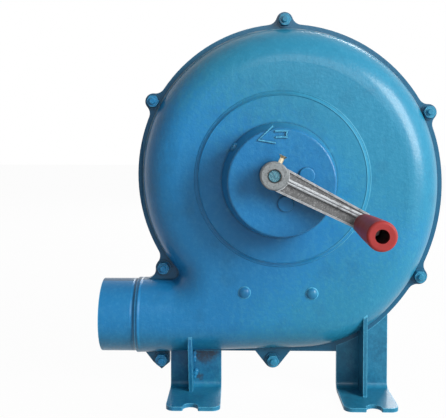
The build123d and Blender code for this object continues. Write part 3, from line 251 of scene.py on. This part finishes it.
def enamel(name, case=False, scorched=(), dulled=0.0, shade_and_age=0.0):
    """Blue enamel brushed thick over rough castings or plate."""
    paint = Finish(name)
    drift = paint.noise(7.0, 1.0, 0.4)
    cloud = paint.noise(38.0, 3.0, 0.6)
    brushing = paint.noise(120.0, 2.0, 0.5, paint.stretched(1.0, 1.0, 0.25))
    grain = paint.noise(420.0, 2.0, 0.6)
    level = paint.off(paint.z, TONE_LEVEL)
    spread = 0.6 * (paint.x - FAN.x) + 0.8 * level + 0.10 * (drift - 0.5) + 0.03 * (cloud - 0.5)
    mottle = paint.noise(240.0, 4.0, 0.75)
    tone = paint.between(spread + 0.10 * (mottle - 0.5), 0.015, 0.095)
    colour = paint.blend(tone, BLUE, TEAL)
    if case:
        face = paint.between(paint.y, CASE_FACE + 0.030, CASE_FACE + 0.004)
        colour = paint.blend(0.75 * face, colour, CASE_BLUE)
        # painted shade: the enamel turns a darker teal below the outlet's axis, on the underside
        underside_shade = paint.between(paint.z, OUTLET_LEVEL, OUTLET_LEVEL - 0.025)
        colour = paint.blend(0.70 * underside_shade, colour, SHADE_TEAL)
    streak = paint.between(mottle + 0.3 * brushing, 0.58, 0.85, 0.0, 0.11)
    colour = paint.blend(streak, colour, PALE_BLUE)
    hollow = paint.between(cloud, 0.30, 0.48, 0.16 + dulled, 0.0)
    colour = paint.blend(hollow, colour, DEEP_BLUE)
    specks = paint.between(paint.cells(190.0), 0.030, 0.060, 1.0, 0.0)
    chips = specks * paint.between(cloud, 0.60, 0.66)
    colour = paint.blend(0.8 * chips, colour, PRIMER)
    burn = 0.0
    for point, reach in scorched:
        ragged = 0.010 * (mottle - 0.5) + 0.008 * (cloud - 0.5)
        edge = paint.away_from(point) + ragged
        burn = burn + paint.between(edge, reach, reach * 0.35)
    if scorched:
        patchy = paint.between(grain, 0.35, 0.55, 0.35, 0.85)
        colour = paint.blend(burn * patchy, colour, SCORCH)
    # painted shade with age: patchy darker enamel, heaviest on the feet, whose upright plates
    # stand in the housing's shadow
    if shade_and_age:
        patches = paint.between(0.5 * cloud + 0.5 * mottle, 0.36, 0.60, 1.0, 0.45)
        soles_lit_and_rubbed = paint.between(paint.z, 0.010, 0.004, 1.0, 0.55)  # soles get less of it: they lie in the light, and are rubbed cleaner
        colour = paint.blend(shade_and_age * patches * soles_lit_and_rubbed, colour, DEEP_BLUE)
    # painted shade and grime in the piece's own creases, found by ambient occlusion
    crease_shade_and_soil = 0.70 if case else 0.80
    colour = paint.blend(crease_shade_and_soil * paint.hollows(0.0035), colour, DEEP_BLUE)
    # lighter paint on the piece's own edges: wear, and painted highlight
    rubbed = paint.edges(0.0011) * paint.between(grain, 0.30, 0.60, 0.40, 0.95)
    colour = paint.blend(rubbed, colour, PALE_BLUE)
    if case:
        # painted shade on the flange faces along the seam
        seam_flange_shade = paint.between(paint.off(paint.y, SEAM) + 0.001 * (cloud - 0.5), 0.0078, 0.0058)
        colour = paint.blend(0.85 * seam_flange_shade, colour, DEEP_BLUE)
        # painted shade with grime in a ring round each nut, where it sits on its lug
        nearest = paint.away_from_axis(NUTS[0])
        for nut in NUTS[1:]:
            other = paint.away_from_axis(nut)
            nearest = paint.node("Math", {"operation": "MINIMUM"}, {0: nearest, 1: other})
        nut_ring_shade = paint.between(nearest + 0.003 * (cloud - 0.5), 0.0085, 0.0050)
        colour = paint.blend(0.7 * nut_ring_shade, colour, DEEP_BLUE)
    height = 0.50 * brushing + 0.55 * grain + 0.60 * cloud - 0.8 * chips
    if case:
        out = paint.away_from_axis(FAN)
        foot = paint.ridge(out, RING_EDGE + 0.0015, 0.0008)
        brow = paint.ridge(out, RING_EDGE - 0.0017, 0.0008)
        front_face = paint.between(paint.y, SHELL_FACE + 0.004, SHELL_FACE + 0.001)
        crest = (foot + brow) * front_face
        # painted highlight on the ring's two edge lines, on its right side only, where the light
        # catches them
        lit_right_side = paint.between(paint.x, FAN.x + 0.020, FAN.x + 0.060)
        colour = paint.blend(0.65 * crest * lit_right_side, colour, PALE_BLUE)
        lip = paint.ridge(paint.x, SHOULDER + 0.0030, 0.0022)
        hollow_line = paint.ridge(paint.x, SHOULDER - 0.0022, 0.0020)
        height = height + 1.4 * crest + 2.2 * lip - 1.8 * hollow_line
    roughness = 0.30 + dulled + 0.16 * cloud + 0.25 * chips
    if scorched:
        roughness = roughness + 0.3 * burn
    return paint.close(
        Base_Color=colour,
        Roughness=roughness,
        Normal=paint.bumped(height, 0.00045),
        Specular_IOR_Level=0.20,
        Coat_Weight=0.24,
        Coat_Roughness=0.18,
    )


def worn_root(name):
    """Paint rubbed thin to a bluish grey along the flange's root."""
    paint = Finish(name)
    cloud = paint.noise(55.0, 3.0, 0.6)
    grain = paint.noise(420.0, 2.0, 0.6)
    thin = paint.between(cloud, 0.34, 0.62)
    colour = paint.blend(thin, (0.020, 0.150, 0.250), (0.200, 0.270, 0.320))
    return paint.close(
        Base_Color=colour,
        Roughness=0.36 + 0.18 * grain,
        Normal=paint.bumped(grain + cloud, 0.00020),
    )


def raw_casting(name):
    """Rough grey casting, rubbed bright on its ribs, lighter on its edges as wear and painted
    highlight.
    """
    metal = Finish(name)
    skin = metal.noise(210.0, 4.0, 0.65)
    blotch = metal.noise(45.0, 2.0, 0.5)
    pits = metal.between(metal.cells(620.0) + 0.25 * skin, 0.18, 0.42, 1.0, 0.0)
    sparkle = metal.between(metal.noise(900.0, 3.0, 0.7), 0.50, 0.66)
    rib_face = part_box("crank_arm")[0].y
    rubbed = metal.between(metal.y, rib_face + 0.0065, rib_face + 0.0035)
    colour = metal.blend(blotch, (0.060, 0.060, 0.060), (0.125, 0.127, 0.130))
    colour = metal.blend(0.55 * pits, colour, (0.045, 0.040, 0.038))
    colour = metal.blend(0.38 * sparkle, colour, (0.42, 0.43, 0.44))
    # lighter edges: wear, and painted highlight
    colour = metal.blend(0.75 * metal.edges(0.0009), colour, (0.46, 0.48, 0.50))
    colour = metal.blend(rubbed * metal.between(skin, 0.25, 0.55), colour, (0.47, 0.50, 0.53))
    shaft = metal.away_from_axis(CRANK)
    hub_face = metal.between(shaft, 0.0122, 0.0116)
    colour = metal.blend(0.75 * hub_face, colour, (0.125, 0.142, 0.146))
    # painted shade in the gap between the shaft end and the hub's bore
    shaft_gap_shade = metal.between(shaft + 0.0006 * (skin - 0.5), 0.0061, 0.0054)
    colour = metal.blend(0.9 * shaft_gap_shade, colour, (0.02, 0.02, 0.02))
    return metal.close(
        Base_Color=colour,
        Metallic=0.30,
        Roughness=0.60 - 0.22 * rubbed + 0.12 * skin,
        Normal=metal.bumped(skin - 0.9 * pits, 0.00045),
    )


def moulded_red(name):
    """Red moulding, a little faded, soiled and in painted shade at its root, with painted shade in
    its bore.
    """
    plastic = Finish(name)
    cloud = plastic.noise(70.0, 2.0, 0.5)
    grain = plastic.noise(900.0, 2.0, 0.5)
    low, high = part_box("handle_grip")
    root = plastic.between(plastic.y + 0.010 * (cloud - 0.5), low.y + 0.030, high.y, 0.0, 1.0)
    # darker at the root: soil, and painted shade where the grip meets the arm
    soil_and_shade = root * plastic.between(cloud, 0.30, 0.60, 0.35, 0.75)
    colour = plastic.blend(cloud, (0.270, 0.022, 0.022), (0.340, 0.036, 0.034))
    colour = plastic.blend(soil_and_shade, colour, (0.16, 0.035, 0.035))
    # painted shade inside the grip's bore
    bore = plastic.away_from_axis(HANDLE)
    depth = plastic.between(plastic.y, low.y, low.y + 0.004)
    inside = plastic.between(bore, 0.0056, 0.0050) * depth
    colour = plastic.blend(inside, colour, (0.03, 0.004, 0.004))
    return plastic.close(
        Base_Color=colour,
        Roughness=0.42 + 0.18 * cloud + 0.1 * soil_and_shade,
        Normal=plastic.bumped(0.6 * grain + cloud, 0.00010),
        Specular_IOR_Level=0.25,
        Subsurface_Weight=0.05,
        Subsurface_Radius=(0.004, 0.0008, 0.0006),
    )


def turned_steel(name, light, dark, grain=600.0, rough=0.30, oily=0.0):
    """Machined steel with fine turning marks and a little oil."""
    steel = Finish(name)
    marks = steel.noise(grain, 3.0, 0.6, steel.stretched(0.15, 1.6, 0.15))
    stain = steel.noise(60.0, 3.0, 0.6)
    colour = steel.blend(steel.between(stain, 0.38, 0.66), light, dark)
    film = steel.between(stain, 0.52, 0.70) * oily
    colour = steel.blend(film, colour, (0.10, 0.075, 0.04))
    return steel.close(
        Base_Color=colour,
        Metallic=1.0,
        Roughness=rough + 0.18 * marks + 0.12 * stain,
        Normal=steel.bumped(marks, 0.00006),
    )


def plated_brass(name):
    """Yellow zinc plate, rubbed at the slot."""
    plate = Finish(name)
    stain = plate.noise(260.0, 3.0, 0.6)
    colour = plate.blend(stain, (0.66, 0.52, 0.28), (0.78, 0.72, 0.58))
    return plate.close(
        Base_Color=colour, Metallic=1.0, Roughness=0.26 + 0.2 * stain,
        Normal=plate.bumped(stain, 0.00008),
    )


def painted_shaft(name):
    """Ground shaft whose front end took paint along with the housing."""
    shaft = Finish(name)
    cloud = shaft.between(shaft.noise(520.0, 3.0, 0.7), 0.35, 0.65)
    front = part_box("crank_shaft")[0].y
    end = shaft.between(shaft.y + 0.0012 * (cloud - 0.5), front + 0.0014, front + 0.0009)
    paint = shaft.blend(cloud, (0.030, 0.120, 0.175), (0.070, 0.240, 0.310))
    colour = shaft.blend(end, (0.50, 0.49, 0.48), paint)
    return shaft.close(
        Base_Color=colour,
        Metallic=1.0 - end,
        Roughness=0.30 + 0.2 * cloud,
        Normal=shaft.bumped(cloud, 0.00020),
    )


def bronze(name):
    """Plain bronze, darkened by oil."""
    metal = Finish(name)
    stain = metal.noise(140.0, 3.0, 0.6)
    colour = metal.blend(stain, (0.62, 0.38, 0.16), (0.34, 0.20, 0.09))
    return metal.close(
        Base_Color=colour, Metallic=1.0, Roughness=0.30 + 0.2 * stain,
        Normal=metal.bumped(stain, 0.00006),
    )


def rolled_sheet(name):
    """Plain aluminium sheet with rolling grain and dust."""
    sheet = Finish(name)
    grain = sheet.noise(700.0, 3.0, 0.6, sheet.stretched(1.0, 1.0, 0.08))
    dust = sheet.noise(40.0, 3.0, 0.6)
    colour = sheet.blend(sheet.between(dust, 0.35, 0.70), (0.66, 0.67, 0.68), (0.42, 0.41, 0.39))
    return sheet.close(
        Base_Color=colour, Metallic=0.9, Roughness=0.34 + 0.2 * grain + 0.15 * dust,
        Normal=sheet.bumped(grain, 0.00008),
    )


# --- Weld beads ---------------------------------------------------------------
UNEVEN = 0.25  # how far a bead's drops vary in height and size, as a share of their radius


def alone():
    """Leave nothing selected."""
    if bpy.context.object and bpy.context.object.mode != "OBJECT":
        bpy.ops.object.mode_set(mode="OBJECT")
    bpy.ops.object.select_all(action="DESELECT")


def modify(piece, kind, **settings):
    """Add a modifier and apply it."""
    modifier = piece.modifiers.new(kind, kind)
    for name, value in settings.items():
        setattr(modifier, name, value)
    bpy.context.view_layer.objects.active = piece
    bpy.ops.object.modifier_apply(modifier=modifier.name)


def weld_bead(name, drops, paint):
    """Lumpy bead: overlapping drops of metal run together."""
    alone()
    first, *rest = drops
    bpy.ops.mesh.primitive_ico_sphere_add(subdivisions=2, radius=first[1], location=first[0])
    piece = bpy.context.object
    bpy.ops.object.transform_apply(location=True, rotation=True, scale=True)
    bpy.ops.object.mode_set(mode="EDIT")
    for place, radius in rest:
        bpy.ops.mesh.primitive_ico_sphere_add(subdivisions=2, radius=radius, location=place)
    bpy.ops.object.mode_set(mode="OBJECT")
    piece.name = name
    modify(piece, "REMESH", mode="VOXEL", voxel_size=0.00045)
    modify(piece, "SMOOTH", factor=0.6, iterations=3)
    alone()
    piece.select_set(True)
    bpy.ops.object.shade_smooth()
    piece.data.materials.append(paint)
    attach(piece, "housing")


def run_of_drops(start, end, radius):
    """Drops from one point to another, a little uneven."""
    start, end = Vector(start), Vector(end)
    count = max(2, round((end - start).length / (radius * 1.05)))
    drops = []
    for i in range(count + 1):
        sway = sin(i * 2.4) * UNEVEN
        place = start.lerp(end, i / count) + Vector((0, 0, sway * radius * 0.5))
        drops.append((place, radius * (1.0 + 0.5 * sway)))
    return drops


PLATE_THICKNESS = 0.0036
PLATE_BACK, PLATE_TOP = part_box("left_foot")[1].yz
PLATE_FRONT = PLATE_BACK - PLATE_THICKNESS
BEAD_LEVEL = PLATE_FRONT + 0.0002  # beads are sunk a little into the plate's front
LEFT_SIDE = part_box("left_gusset")[1].x
RIGHT_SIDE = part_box("right_gusset")[1].x

foot_enamel = enamel(
    "foot_enamel",
    scorched=(
        ((LEFT_SIDE + 0.004, PLATE_FRONT, PLATE_TOP - 0.002), 0.0090),
        ((LEFT_SIDE + 0.011, PLATE_FRONT, PLATE_TOP - 0.004), 0.0100),
        ((LEFT_SIDE + 0.018, PLATE_FRONT, PLATE_TOP - 0.002), 0.0085),
        ((LEFT_SIDE + 0.005, PLATE_FRONT, PLATE_TOP - 0.024), 0.0045),
    ),
    dulled=0.10,
    shade_and_age=0.66,
)

bead_enamel = enamel("bead_enamel")
BEADS = {  # the two ends of each bead as its place across and its height, and its radius
    "weld_left_upper": (
        (LEFT_SIDE + 0.0004, PLATE_TOP - 0.001), (LEFT_SIDE + 0.0004, PLATE_TOP - 0.009), 0.0021
    ),
    "weld_left_lower": (
        (LEFT_SIDE + 0.0022, PLATE_TOP - 0.019), (LEFT_SIDE + 0.0006, PLATE_TOP - 0.024), 0.0024
    ),
    "weld_right_middle": ((RIGHT_SIDE + 0.0016, 0.0545), (RIGHT_SIDE + 0.0004, 0.0500), 0.0022),
}
for name, (start, end, radius) in BEADS.items():
    places = [(across, BEAD_LEVEL, height) for across, height in (start, end)]
    weld_bead(name, run_of_drops(*places, radius), bead_enamel)

# --- Root fillets of the flange ------------------------------------------------
SCROLL_CENTRE = Vector((FAN.x + 0.0128, 0.0, FAN.z + 0.0023))
JOINTS = (215.0, 160.0, 95.0, 10.0, -45.0, -90.0)  # degrees at which the scroll's arcs meet
RADII = (0.1431, 0.1338, 0.1417, 0.1696, 0.1140)  # of the flange's edge, arc by arc
FLANGE_WIDTH = 0.005  # from the flange's edge to the wall
FILLET_RADIUS = 0.0010


def on_circle(centre, radius, angle):
    """Point at an angle round a centre, upright on the seam plane."""
    turn = radians(angle)
    return centre + radius * Vector((cos(turn), 0.0, sin(turn)))


def root_fillet(name, level, radius):
    """Thin rounded run of metal where the volute's wall leaves the flange."""
    centre = SCROLL_CENTRE + Vector((0.0, level, 0.0))
    before = RADII[0]
    runs = []
    for first, last, reach in zip(JOINTS, JOINTS[1:], RADII):
        centre = on_circle(centre, before - reach, first)
        before = reach
        start = on_circle(centre, reach - FLANGE_WIDTH, first)
        alone()
        bpy.ops.mesh.primitive_circle_add(
            vertices=10, radius=radius, location=start, rotation=(0.0, -radians(first), 0.0)
        )
        run = bpy.context.object
        bpy.ops.object.transform_apply(location=True, rotation=True, scale=True)
        bpy.ops.object.mode_set(mode="EDIT")
        bpy.ops.mesh.select_all(action="SELECT")
        steps = max(8, round(abs(first - last) / 2.5))
        bpy.ops.mesh.spin(steps=steps, angle=radians(last - first), center=centre, axis=(0, 1, 0))
        bpy.ops.object.mode_set(mode="OBJECT")
        runs.append(run)
    alone()
    for run in runs:
        run.select_set(True)
    bpy.context.view_layer.objects.active = runs[0]
    bpy.ops.object.join()
    piece = bpy.context.object
    piece.name = name
    bpy.ops.object.mode_set(mode="EDIT")
    bpy.ops.mesh.select_all(action="SELECT")
    bpy.ops.mesh.remove_doubles(threshold=1e-5)
    bpy.ops.mesh.fill_holes(sides=10)
    bpy.ops.mesh.select_all(action="SELECT")
    bpy.ops.mesh.normals_make_consistent(inside=False)
    bpy.ops.object.mode_set(mode="OBJECT")
    bpy.ops.object.shade_smooth_by_angle(angle=radians(40.0))
    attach(piece, "housing")
    return piece


# --- Finish every piece -------------------------------------------------------
housing_enamel = enamel("housing_enamel", case=True)
fastener_enamel = enamel("fastener_enamel", dulled=0.10, shade_and_age=0.30)
shaft_steel = turned_steel("shaft_steel", (0.56, 0.56, 0.57), (0.40, 0.39, 0.38))
gear_steel = turned_steel("gear_steel", (0.46, 0.46, 0.47), (0.30, 0.29, 0.27), 900.0, 0.34, 0.7)
bearing_steel = turned_steel("bearing_steel", (0.72, 0.73, 0.74), (0.60, 0.60, 0.61), 1200.0, 0.12)
plate_casting = turned_steel(
    "plate_casting", (0.58, 0.58, 0.58), (0.44, 0.43, 0.42), 300.0, 0.42, 0.3
)
root_enamel = worn_root("root_enamel")
for name, level in (
    ("front_root_fillet", SEAM - FLANGE_THICKNESS),
    ("rear_root_fillet", SEAM + FLANGE_THICKNESS),
):
    root_fillet(name, level, FILLET_RADIUS).data.materials.append(root_enamel)
FINISHES = {
    housing_enamel: ("front_shell", "rear_shell"),
    foot_enamel: ("left_foot", "left_gusset", "right_foot", "right_gusset"),
    fastener_enamel: ("seam_bolts", "seam_nuts", "face_rivets", "oil_plug"),
    raw_casting("arm_casting"): ("crank_arm",),
    moulded_red("grip_plastic"): ("handle_grip",),
    plated_brass("zinc_screw"): ("crank_set_screw",),
    painted_shaft("crank_shaft_finish"): ("crank_shaft",),
    shaft_steel: (
        "plate_screws",
        "crank_gear_key",
        "handle_pin",
        "first_layshaft",
        "second_layshaft",
        "fan_shaft",
        "impeller_washer",
        "impeller_nut",
    ),
    gear_steel: ("crank_gear", "first_pinion", "first_gear", "second_pinion", "second_gear"),
    bearing_steel: ("bearing_outer_races", "bearing_inner_races", "bearing_balls"),
    bronze("bush_bronze"): ("crank_bush", "first_layshaft_bushes", "second_layshaft_bushes"),
    plate_casting: ("gear_case_plate",),
    rolled_sheet("impeller_sheet"): ("impeller_disc", "impeller_blades", "impeller_rivets"),
    turned_steel("impeller_hub_steel", (0.52, 0.52, 0.53), (0.38, 0.36, 0.34)): ("impeller_hub",),
}
for finish, names in FINISHES.items():
    for name in names:
        slots = nodes[name].data.materials
        slots.clear()
        slots.append(finish)


# --- Floor, lamps and camera --------------------------------------------------
def floor_finish():
    """Pale floor that keeps a soft shadow."""
    floor = Finish("pale_floor")
    matt = floor.node("BsdfDiffuse", None, {"Color": (0.60, 0.60, 0.60)})
    glow = floor.node("Emission", None, {"Color": (1.0, 1.0, 1.0), "Strength": 1.0})
    shown = 0.97 * floor.background_rays()  # the rest takes the object's shadow
    floor.end("Material", floor.node("MixShader", None, {0: shown, 1: matt, 2: glow}))
    return floor.material


alone()
bpy.ops.mesh.primitive_plane_add(size=12.0, location=(0, 0, 0))
floor = bpy.context.object
floor.name = "floor"
floor.data.materials.append(floor_finish())


def world_light():
    """Dim surroundings that show white to camera, glossy and transmission rays."""
    world = bpy.data.worlds.new("studio")
    bpy.context.scene.world = world
    world.use_nodes = True
    sky = Nodes(world.node_tree)
    dim = sky.node("Background", None, {"Color": (0.93, 0.96, 1.0), "Strength": 0.09})
    white = sky.node("Background", None, {"Color": (1.0, 1.0, 1.0), "Strength": 1.0})
    shown = sky.background_rays()
    sky.end("World", sky.node("MixShader", None, {0: shown, 1: dim, 2: white}))


world_light()
LIT_POINT = Vector((0.0, 0.0, 0.17))


def lamp(name, place, width, height, watts, tint):
    """Soft lamp turned towards the housing's middle."""
    data = bpy.data.lights.new(name, "AREA")
    data.shape = "RECTANGLE"
    data.size = width
    data.size_y = height
    data.energy = watts
    data.color = tint
    holder = bpy.data.objects.new(name, data)
    holder.location = place
    holder.rotation_euler = (LIT_POINT - Vector(place)).to_track_quat("-Z", "Y").to_euler()
    bpy.context.scene.collection.objects.link(holder)


lamp("key", (1.20, -0.90, 0.72), 0.7, 0.9, 36.0, (1.0, 0.99, 0.97))
lamp("front", (0.40, -1.9, 0.95), 1.0, 0.8, 9.5, (0.97, 0.99, 1.0))
lamp("back", (0.35, 1.75, 1.00), 1.0, 0.8, 24.0, (0.98, 0.99, 1.0))

LENS = 56.97  # on a 36 mm wide sensor
EYE = Vector((FAN.x, SEAM, FAN.z)) + Vector((-0.03975, -0.650, 0.0339))
YAW, PITCH = -0.0198, -0.0345

camera_data = bpy.data.cameras.new("camera")
camera_data.sensor_fit = "HORIZONTAL"
camera_data.sensor_width = 36.0
camera_data.lens = LENS
camera_data.shift_y = -0.10
camera_data.clip_start = 0.01
camera = bpy.data.objects.new("camera", camera_data)
ahead = Vector((sin(YAW) * cos(PITCH), cos(YAW) * cos(PITCH), sin(PITCH)))
aside = Vector((cos(YAW), -sin(YAW), 0.0))
above = aside.cross(ahead)
turn = Matrix((aside, above, -ahead)).transposed().to_4x4()
camera.matrix_world = Matrix.Translation(EYE) @ turn
bpy.context.scene.collection.objects.link(camera)
bpy.context.scene.camera = camera
bpy.context.scene.view_settings.view_transform = "Standard"
